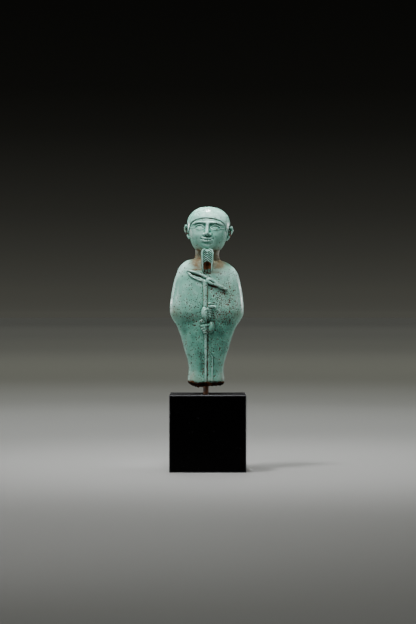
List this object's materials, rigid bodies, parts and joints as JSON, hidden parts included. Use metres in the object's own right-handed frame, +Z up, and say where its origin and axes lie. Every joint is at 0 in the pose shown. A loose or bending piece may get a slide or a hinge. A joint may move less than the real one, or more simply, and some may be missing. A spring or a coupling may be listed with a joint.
{
  "type": "egyptian deity figurine",
  "caption": "Broken faience figurine of a wrapped, bearded god holding a sceptre, held up by a thin rod in a black square block.",
  "frame": {"origin": "middle of the block's underside", "axes": "+Z up along the figure, -Y out of its chest, +X to the right of someone facing it"},
  "size_m": [0.042, 0.042, 0.1454],
  "materials": {
    "faience": "pale turquoise glaze, worn and pitted",
    "rod_steel": "dark brown",
    "block_lacquer": "black satin lacquer"
  },
  "bodies": {
    "root": {"figurine": "faience", "mount_rod": "rod_steel", "base_block": "block_lacquer"}
  },
  "joints": []
}
